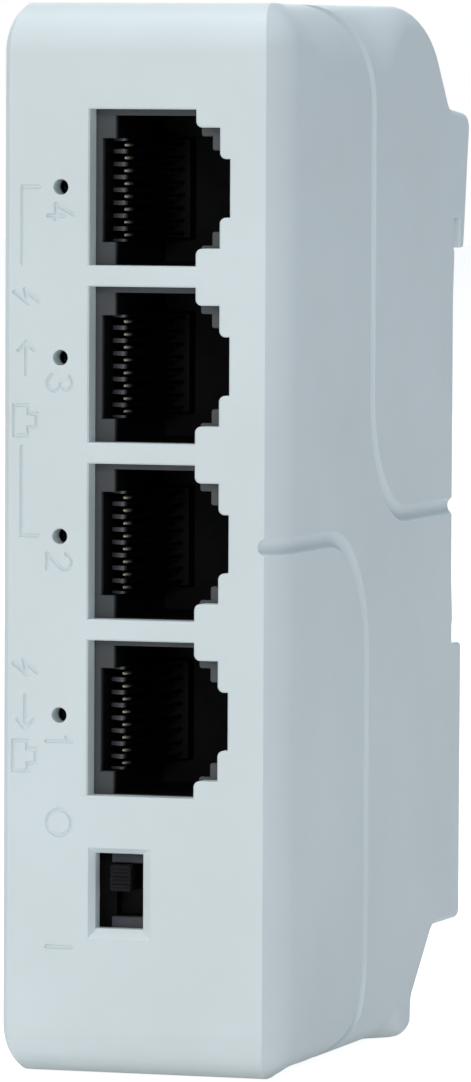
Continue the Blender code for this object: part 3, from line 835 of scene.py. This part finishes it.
def window_frame(shell):
    """A sloped frame down to the switch's window, which goes straight through."""
    low_x, high_x, low_z, high_z = WINDOW
    out_low_x, out_high_x, out_low_z, out_high_z = WINDOW_FRAME
    inner = rectangle(low_x, low_z, high_x, high_z)
    outer = rectangle(out_low_x, out_low_z, out_high_x, out_high_z)
    proud = 0.3
    above = [o + (o - i) * (proud / WINDOW_SLOPE) for o, i in zip(outer, inner)]
    work = bmesh.new()
    rows = []
    for shape, depth in ((above, -proud), (inner, WINDOW_SLOPE), (inner, WALL + 1)):
        rows.append([work.verts.new(place("y", p.x, p.y, depth)) for p in shape])
    close_rows(work, rows)
    carve(shell, new_object("window", work))


def cut_latch_way(shell):
    """A T-shaped channel down the lower block, with a post in it for the spring."""
    low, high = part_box("rail_latch")
    flange = bench(high).x + GAP
    face = SEAT_Y + 0.01
    ledge = bench(low).y + FLANGE_THICKNESS + GAP
    mouth = 5.5
    top = BLOCK_TOP_Z + 1
    step = BLOCK_TOP_Z - FLANGE_DROP
    mouth_box = rectangle(-mouth, face, mouth, 55)
    flange_box = rectangle(-flange, face - 0.001, flange, ledge)
    carve(shell, loft("mouth", mouth_box, "z", ((-1, 0), (top, 0))))
    carve(shell, loft("flange_way", flange_box, "z", ((-1.5, 0), (step, 0))))
    spring_low = bench(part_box("latch_spring")[0]).z
    post = rectangle(-1.3, SEAT_Y - 0.5, 1.3, BLOCK_Y - 0.5, 0.2)
    post_rings = soft_rings(spring_low - 1.8, spring_low - GAP, 0.2)
    carve(shell, loft("spring_post", post, "z", post_rings), "UNION")


# Marks, cut as shallow strokes


def flat_path(points):
    """A stroke on the front face from (x, z) points."""
    return [(x, 0.0, z) for x, z in points]


def turned(points, x, z, width, height):
    """A glyph in a unit box, turned a quarter clockwise, so that its top is towards +X."""
    return flat_path([(x + v * height, z + width / 2 - u * width) for u, v in points])


def port_numbers():
    """Plain single-stroke port numbers."""
    one = [[(0.3, 0.78), (0.55, 1.0), (0.55, 0.0)]]
    two = [oval_arc((0.5, 0.72), 0.45, 0.28, 170, -30) + [(0.05, 0.0), (0.95, 0.0)]]
    three_top = oval_arc((0.48, 0.76), 0.4, 0.24, 150, -80)
    three_low = oval_arc((0.48, 0.27), 0.47, 0.27, 80, -155)
    four = [[(0.95, 0.3), (0.02, 0.3), (0.62, 1.0)], [(0.7, 0.62), (0.7, 0.0)]]
    glyphs = {4: four, 3: [three_top, three_low], 2: two, 1: one}
    made = []
    for port, glyph in glyphs.items():
        z = LAMP_Z[port] - NUMBER_DROP
        made.append([turned(path, NUMBER_X, z, *NUMBER_SIZE) for path in glyph])
    return made


def brackets():
    """Two angles that tie port 4 to port 2: one above the symbols and one below them."""
    top, low = LAMP_Z[4], LAMP_Z[2]
    stem, tip = BRACKET_X
    upper = [(tip, top), (stem, top), (stem, 64.4)]
    lower = [(stem, 49.9), (stem, low), (tip, low)]
    return [[flat_path(upper)], [flat_path(lower)]]


def bolt(x, z):
    """A power symbol: a zigzag."""
    points = [(2.0, -0.35), (0.85, 0.55), (1.15, -0.55), (0.0, 0.35)]
    return [flat_path([(x + u, z + v) for u, v in points])]


def arrow(x, z, way):
    """A direction symbol along the label: way is 1 for up and -1 for down."""
    shaft = [(x + 1.0, z - 1.3 * way), (x + 1.0, z + 1.3 * way)]
    head = [(x + 0.35, z + 0.65 * way), (x + 1.0, z + 1.3 * way), (x + 1.65, z + 0.65 * way)]
    return [flat_path(shaft), flat_path(head)]


def socket(x, z):
    """A jack symbol: an open box with a raised middle."""
    points = [(0, -1.2), (1.2, -1.2), (1.2, -0.55), (1.9, -0.55)]
    points += [(u, -v) for u, v in reversed(points)]
    return [flat_path([(x + u, z + v) for u, v in points + points[:1]])]


def symbols():
    """Generic signs where the part has its labels: power, direction and jack, then off and on."""
    made = []
    for top, way, pitch in SYMBOL_COLUMNS:
        made += [bolt(SYMBOL_X, top), arrow(SYMBOL_X, top - pitch, way)]
        made.append(socket(SYMBOL_X, top - 2 * pitch))
    ring = []
    for start in (0, 180):
        ring.append(flat_path(oval_arc(OFF_RING, OFF_RADIUS, OFF_RADIUS, start, start + 180, 14)))
    made.append(ring)
    made.append([flat_path(ON_BAR)])
    return made


def split_strokes(path, limit=math.radians(50)):
    """A path cut at its sharp corners."""
    points = [Vector(p) for p in path]
    strokes = [[points[0]]]
    for before, here, after in zip(points, points[1:], points[2:]):
        strokes[-1].append(here)
        if (here - before).angle(after - here) > limit:
            strokes.append([here])
    strokes[-1].append(points[-1])
    return strokes


def cut_marks(shell):
    """Cuts every mark into the front. The strokes of one mark that touch are in different layers."""
    layers = ([], [], [])
    for mark in port_numbers() + brackets() + symbols():
        strokes = [stroke for path in mark for stroke in split_strokes(path)]
        for i, stroke in enumerate(strokes):
            layers[i % 3].append(stroke)
    for strokes in layers:
        carve(shell, tubes("marks", strokes, MARK_TOOL, sides=8, round_ends=True))


def build_housing(surface):
    shell = housing_form()
    cut_inside(shell)
    cut_latch_way(shell)
    cut_front(shell)
    grooves = [rear_groove(), front_groove()]
    carve(shell, tubes("grooves", grooves, GROOVE_TOOL, sides=14))
    cut_marks(shell)
    shell.data.materials.clear()
    shell.data.materials.append(surface)
    finish_piece(shell, "housing", "housing_plastic", "main_housing")


def build_cover(surface):
    """The left cover: a plate with sunk screw seats, finger grooves and a tongue at the front."""
    outer = -HALF
    inner = outer + COVER_THICKNESS
    cover = loft("cover_panel", rounded(COVER_OUTLINE), "x", soft_rings(outer, inner, 0.25), surface)
    holes = bmesh.new()
    seat = outer + 1.3
    for y, z in COVER_SCREWS:
        rings = ((outer - 0.4, 0.6), (outer + 0.2, 0), (seat, 0), (seat, -0.75), (inner + 1, -0.75))
        add_loft(holes, circle(y, z, HEAD_RADIUS + GAP), "x", rings)
    groove_edge = ((outer - 0.3, 0.1), (outer + 0.3, -0.1), (outer + 0.45, -0.25))
    for k in range(5):
        z = 71.0 - k * 1.6
        add_loft(holes, rectangle(10.0, z - 0.4, 22.0, z + 0.4, 0.39), "x", groove_edge)
    carve(cover, new_object("cover_holes", holes))
    left = -HALF + WALL + GAP
    tongue = soft_box("tongue", (left, 2.1, 79.0), (left + 1.2, 6.0, 80.6), 0.15, surface)
    carve(cover, tongue, "UNION")
    finish_piece(cover, "housing", "housing_plastic", "side_cover")


# Screws


def screw_rings(start, end, head):
    """Rings for a screw from its head to its tip: a domed head, thread ridges and a blunt point."""
    dome = ((0.0, -0.55), (0.08, -0.3), (0.25, -0.1), (0.5, 0.0), (1.0, 0.0))
    root, crest = THREAD_ROOT - head, THREAD_CREST - head
    rings = [(start + x, growth) for x, growth in dome]
    rings.append((start + 1.0, root))
    turn = start + 1.15
    while turn < end - 0.9:
        rings += [(turn, root), (turn + 0.2, crest), (turn + 0.28, crest), (turn + 0.48, root)]
        turn += THREAD_PITCH
    return rings + [(end - 0.35, root), (end, 0.12 - head)]


def screw(name, node, surface):
    """A pan-head screw with a cross recess and thread ridges, its head towards -X."""
    low, high = bench_box(node)
    y, z = (low.y + high.y) / 2, (low.z + high.z) / 2
    head = (high.y - low.y) / 2
    made = loft(name, circle(y, z, head, 32), "x", screw_rings(low.x, high.x, head), surface)
    depth = low.x + 0.6
    for wide, tall in ((0.95, 0.17), (0.17, 0.95)):
        slot = rectangle(y - wide, z - tall, y + wide, z + tall)
        carve(made, loft("slot", slot, "x", ((low.x - 0.5, 0), (depth, -0.06))))
    return finish_piece(made, "housing", "steel", node)


def build_screws(surface):
    for i in range(len(COVER_SCREWS)):
        screw(f"cover_screw_fine_{i + 1}", f"cover_screw_{i + 1}", surface)
    for i in range(len(BOARD_SCREWS)):
        screw(f"board_screw_fine_{i + 1}", f"board_screw_{i + 1}", surface)


# Jacks


def build_jack(surface):
    """The ganged jack block: stepped cavities, a contact notch each, and soft front edges."""
    low, high = bench_box("jack_housing")
    block = soft_box("jack_block", low, high, 0.2, surface, 0.4)
    front, back = low.y, low.y + JACK_DEPTH
    cavities, notches, pockets = bmesh.new(), bmesh.new(), bmesh.new()
    edge = ((front - 0.08, 0.16), (front + 0.08, 0.0), (back, 0.0))
    half = NOTCH_WIDTH / 2
    for port in PORTS:
        z = JACK_Z[port]
        add_loft(cavities, stepped(JACK_LEFT, JACK_STEPS, z, 0.2), "y", edge)
        notch = rectangle(NOTCH_LEFT, z - half, JACK_LEFT + 1, z + half)
        add_loft(notches, notch, "y", edge)
        pocket = rectangle(NOTCH_LEFT, z - half, -0.1, z + half)
        add_loft(pockets, pocket, "y", ((back - 2, 0.002), (back + 0.9, 0.002)))
    for name, work in (("cavities", cavities), ("notches", notches), ("pockets", pockets)):
        carve(block, new_object(name, work))
    finish_piece(block, "housing", "jack_plastic", "jack_housing")


def comb(name, port, surface):
    """The ribs between a jack's contacts, with the carrier they stand on."""
    low, high = bench_box(f"port_contacts_{port}")
    z = JACK_Z[port]
    back = high.y
    left = NOTCH_LEFT + 0.1
    made = soft_box(name, (left, back - 1.6, low.z), (-0.3, back, high.z), 0.1, surface, 0.15)
    profile = (
        (left, RIB_FRONT_Y + 0.6, 0.1),
        (-2.5, RIB_FRONT_Y, 0.2),
        (-1.55, back - 1.0, 0.0),
        (left, back - 1.0, 0.0),
    )
    shape = rounded(profile, math.radians(30))
    ribs = bmesh.new()
    for k in range(CONTACTS + 1):
        middle = z + (k - CONTACTS / 2) * CONTACT_PITCH
        thick = 0.17
        if k in (0, CONTACTS):
            middle += math.copysign(0.1, z - middle)
            thick = 0.1
        add_loft(ribs, shape, "z", ((middle - thick, 0), (middle + thick, 0)))
    carve(made, new_object("ribs", ribs), "UNION")
    return finish_piece(made, "housing", "jack_plastic")


def contacts(name, port, surface):
    """Eight sprung wires: up out of the comb at the front, and back down to the carrier."""
    back = bench_box(f"port_contacts_{port}")[1].y
    path = CONTACT_PATH + ((-0.9, back - 1.2),)
    paths = []
    for k in range(CONTACTS):
        z = JACK_Z[port] + (k - (CONTACTS - 1) / 2) * CONTACT_PITCH
        paths.append([(x, y, z) for x, y in path])
    made = tubes(name, paths, CONTACT_WIRE, surface, sides=10)
    return finish_piece(made, "housing", "contact_gold", f"port_contacts_{port}", angle=50)


def build_contacts(metal, plastic):
    for port in PORTS:
        contacts(f"contact_wires_{port}", port, metal)
        comb(f"contact_comb_{port}", port, plastic)


def build_lamps(surface):
    """Each lamp: a small block with a domed lens behind its pinhole."""
    for port in PORTS:
        low, high = bench_box(f"status_led_{port}")
        middle = (low + high) / 2
        base = (low.x, low.y + 0.5, low.z)
        lamp = soft_box(f"lamp_{port}", base, tuple(high), 0.1, surface, 0.12)
        dome = 0.45
        rings = [(low.y + 2 * dome, 0.0), (low.y + dome, 0.0)]
        for k in range(1, 6):
            turn = math.radians(17 * k)
            shrink = LENS_RADIUS * (1 - math.cos(turn))
            rings.append((low.y + dome * (1 - math.sin(turn)), -shrink))
        lens = loft("lens", circle(middle.x, middle.z, LENS_RADIUS, 20), "y", rings[::-1])
        carve(lamp, lens, "UNION")
        finish_piece(lamp, "housing", "lamp", f"status_led_{port}", angle=40)


# Slide switch


def build_switch_body(surface):
    """The switch's case, with a slot for the knob and a step down along its left."""
    low, high = bench_box("switch_body")
    slot_left = bench_box("switch_knob")[0].x - GAP
    body = soft_box("switch_case", low, high, 0.15, surface, 0.25)
    middle = (low.z + high.z) / 2
    reach = 2.13
    slot = rectangle(slot_left, middle - reach, 0.65, middle + reach)
    slot_rings = ((low.y - 0.1, 0.15), (low.y + 0.1, 0.0), (high.y - 1.5, 0.0))
    carve(body, loft("slot", slot, "y", slot_rings))
    left_step = rectangle(low.x - 0.5, low.z - 0.5, -2.7, high.z + 0.5)
    carve(body, loft("left_step", left_step, "y", ((low.y - 1.0, 0.0), (low.y + 1.3, 0.0))))
    finish_piece(body, "housing", "switch_plastic", "switch_body")


def build_knob(surface):
    """The switch's knob, with three ridges for a finger."""
    low, high = bench_box("switch_knob")
    base = (low.x, low.y + 0.25, low.z)
    knob = soft_box("switch_slider", base, tuple(high), 0.15, surface, 0.2)
    ridges = bmesh.new()
    ridge_rings = ((low.y, -0.08), (low.y + 0.1, 0.0), (low.y + 0.4, 0.0))
    for k in range(3):
        z = low.z + 0.45 + k * 0.6
        ridge = rectangle(low.x + 0.12, z - 0.13, high.x - 0.12, z + 0.13, 0.1)
        add_loft(ridges, ridge, "y", ridge_rings)
    carve(knob, new_object("ridges", ridges), "UNION")
    finish_piece(knob, "knob", "switch_plastic", "switch_knob")


# Rail latch


def build_latch(surface):
    """The sliding plate: hooked nose, guide flange, spring window, pull slot and grip grooves."""
    low, high = bench_box("rail_latch")
    back, face = high.y, low.y
    top, bottom = high.z, low.z
    nose_front = SEAT_Y + NOSE_GAP
    half_width = 5.3
    section = rounded((
        (nose_front, bottom, 0.0),
        (nose_front, top - 0.4, 0.0),
        (nose_front + 0.4, top, 0.15),
        (back, top - 1.2, 0.3),
        (back, bottom, 0.4),
    ))
    plate = loft("latch_plate", section, "x", soft_rings(-half_width, half_width, 0.2), surface)
    flange = rectangle(-high.x, face, high.x, face + FLANGE_THICKNESS, 0.15)
    flange_top = BLOCK_TOP_Z - FLANGE_DROP - GAP
    flange_rings = soft_rings(bottom, flange_top, 0.2)
    carve(plate, loft("flange", flange, "z", flange_rings, surface), "UNION")
    spring_low, spring_high = bench_box("latch_spring")
    through = ((40, 0), (back - 0.15, 0), (back + 0.3, 0.45))
    window = rectangle(-1.6, spring_low.z - 2.0, 1.6, spring_high.z + GAP, 0.3)
    carve(plate, loft("spring_window", window, "y", through))
    pull = rectangle(-2.2, bottom + 0.9, 2.2, bottom + 2.3, 0.6)
    carve(plate, loft("pull", pull, "y", through))
    grips = bmesh.new()
    grip_edge = ((back - 0.3, -0.12), (back + 0.2, 0.1))
    for k in range(3):
        z = spring_high.z + 2.0 + k * 1.5
        add_loft(grips, rectangle(-3.6, z - 0.3, 3.6, z + 0.3, 0.29), "y", grip_edge)
    carve(plate, new_object("grips", grips))
    finish_piece(plate, "latch", "housing_plastic", "rail_latch")


def coil_rise(share, closed):
    """How far up a spring its wire is, at a share of its length, with both end coils closed."""
    one_coil = 1 / SPRING_TURNS
    if share >= 1 - one_coil:
        return 1 - min((1 - share) * SPRING_TURNS, 1.0) * closed
    lead = min(share * SPRING_TURNS, 1.0) * closed
    if share > one_coil:
        return lead + (share - one_coil) / (1 - 2 / SPRING_TURNS) * (1 - 2 * closed)
    return lead


def build_spring(surface):
    """A compression spring, its wire wound as a helix with both end coils closed."""
    low, high = bench_box("latch_spring")
    radius = (high.x - low.x) / 2 - SPRING_WIRE
    middle = (low + high) / 2
    count = SPRING_TURNS * SPRING_STEPS
    start, end = low.z + SPRING_WIRE, high.z - SPRING_WIRE
    closed = SPRING_WIRE * 2 / (end - start)
    path = []
    for i in range(count + 1):
        turn = math.tau * i / SPRING_STEPS
        x = middle.x + radius * math.cos(turn)
        y = middle.y + radius * math.sin(turn)
        path.append((x, y, start + (end - start) * coil_rise(i / count, closed)))
    spring = tubes("latch_coil", [path], SPRING_WIRE, surface, sides=10)
    finish_piece(spring, "housing", "steel", "latch_spring", angle=60)
    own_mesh(spring)


# Carried-over nodes


def dress(node, surface):
    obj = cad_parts[node]
    obj.data.materials.clear()
    obj.data.materials.append(surface)


def dress_inside(metal):
    dress("main_board", board_mask())
    dress("clock_crystal", metal)
    dress("filter_capacitor", capacitor_sleeve())
    dress("power_inductor", ferrite())
    resin = chip_resin()
    chips = ["switch_chip", "power_controller", "bridge_rectifier_1", "bridge_rectifier_2"]
    chips += [f"port_magnetics_{port}" for port in PORTS]
    for node in chips:
        dress(node, resin)


# Stage


def add_camera():
    sideways, lift = math.cos(CAMERA_ELEVATION), math.sin(CAMERA_ELEVATION)
    back = Vector((math.sin(CAMERA_AZIMUTH) * sideways, -math.cos(CAMERA_AZIMUTH) * sideways, lift))
    right = Vector((math.cos(CAMERA_AZIMUTH), math.sin(CAMERA_AZIMUTH), 0))
    up = back.cross(right)
    tilted_right = right * math.cos(CAMERA_ROLL) + up * math.sin(CAMERA_ROLL)
    tilted_up = up * math.cos(CAMERA_ROLL) - right * math.sin(CAMERA_ROLL)
    lens = bpy.data.cameras.new("camera")
    lens.lens = CAMERA_LENS
    lens.sensor_width = 36.0
    lens.clip_start = 0.01
    lens.clip_end = 20.0
    camera = bpy.data.objects.new("camera", lens)
    turn = Matrix((tilted_right, tilted_up, back)).transposed()
    camera.matrix_world = Matrix.Translation(CAMERA_AIM + back * CAMERA_DISTANCE) @ turn.to_4x4()
    bpy.context.scene.collection.objects.link(camera)
    bpy.context.scene.camera = camera


def add_light(name, place_from, size, power, tint, aim=None):
    data = bpy.data.lights.new(name, "AREA")
    data.shape = "RECTANGLE"
    data.size, data.size_y = size
    data.energy = power
    data.color = tint
    light = bpy.data.objects.new(name, data)
    light.location = place_from
    aim = aim or at(0, 25, 42)
    light.rotation_euler = (Vector(aim) - Vector(place_from)).to_track_quat("-Z", "Y").to_euler()
    bpy.context.scene.collection.objects.link(light)


def add_lights():
    add_light("key", (-1.4, -1.4, 0.8), (0.6, 0.8), 9.6, (1.0, 0.95, 0.88))
    add_light("front_right", (0.62, -1.9, 0.6), (0.3, 0.5), 7.8, (1.0, 0.95, 0.88))
    add_light("top", (0.03, -0.1, 1.4), (0.8, 0.8), 11.0, (0.97, 0.985, 1.0))
    add_light("back_fill", (-0.5, 0.95, 0.4), (0.8, 0.8), 2.6, (1.0, 0.95, 0.9))


def add_world():
    """White to the camera, and a weaker cool fill for everything else."""
    world = bpy.data.worlds.new("studio")
    bpy.context.scene.world = world
    world.use_nodes = True
    tree = world.node_tree
    fill = tree.nodes["Background"]
    fill.inputs["Color"].default_value = (0.7, 0.83, 1.0, 1.0)
    fill.inputs["Strength"].default_value = 0.29
    seen = tree.nodes.new("ShaderNodeBackground")
    seen.inputs["Color"].default_value = (1.0, 1.0, 1.0, 1.0)
    mix = tree.nodes.new("ShaderNodeMixShader")
    path = tree.nodes.new("ShaderNodeLightPath")
    tree.links.new(path.outputs["Is Camera Ray"], mix.inputs["Fac"])
    tree.links.new(fill.outputs["Background"], mix.inputs[1])
    tree.links.new(seen.outputs["Background"], mix.inputs[2])
    tree.links.new(mix.outputs["Shader"], tree.nodes["World Output"].inputs["Surface"])


def add_floor():
    """A plain pale floor, bright enough to run into the white behind it."""
    mix = Recipe("pale_floor")
    mix.colour(mix.ramp(mix.noise(3.0), ((0.0, (0.64, 0.64, 0.64)), (1.0, (0.66, 0.66, 0.66)))))
    mix.value("Roughness", 0.8)
    mix.value("Specular IOR Level", 0.0)
    mix.value("Emission Color", (1.0, 1.0, 1.0, 1.0))
    path = mix.node("ShaderNodeLightPath")
    glow = mix.spread(path.outputs["Is Camera Ray"], 0.2, 0.8)
    mix.link(glow, mix.shader.inputs["Emission Strength"])
    work = bmesh.new()
    corners = ((-3, -3), (3, -3), (3, 3), (-3, 3))
    level = at(0, 0, -0.05).z
    work.faces.new([work.verts.new((x, y, level)) for x, y in corners])
    floor = new_object("floor", work, mix.made)


def set_view():
    view = bpy.context.scene.view_settings
    view.view_transform = "Standard"
    view.look = "None"


def build():
    metal = steel()
    build_housing(housing_plastic())
    build_cover(cover_plastic())
    build_screws(steel("screw_steel", (0.5, 0.51, 0.53)))
    # Painted shade: the jack's dark grey darkens to black from 1.95 to 2.7 mm deep.
    build_jack(jack_plastic("jack_plastic", (0.105, 0.11, 0.115), 1.95, 2.7))
    # Painted shade: the comb's grey darkens to black from 3.75 to 4.5 mm deep, and the contact gold
    # from 4.1 to 4.7 mm deep.
    build_contacts(contact_gold(), jack_plastic("comb_plastic_painted_shade", (0.17, 0.175, 0.18), 3.75, 4.5))
    build_lamps(lamp_resin())
    build_switch_body(switch_plastic())
    build_knob(knob_plastic_painted_shade())
    build_latch(latch_plastic())
    build_spring(steel("spring_steel", (0.6, 0.61, 0.63)))
    dress_inside(metal)
    add_camera()
    add_lights()
    add_world()
    add_floor()
    set_view()


build()
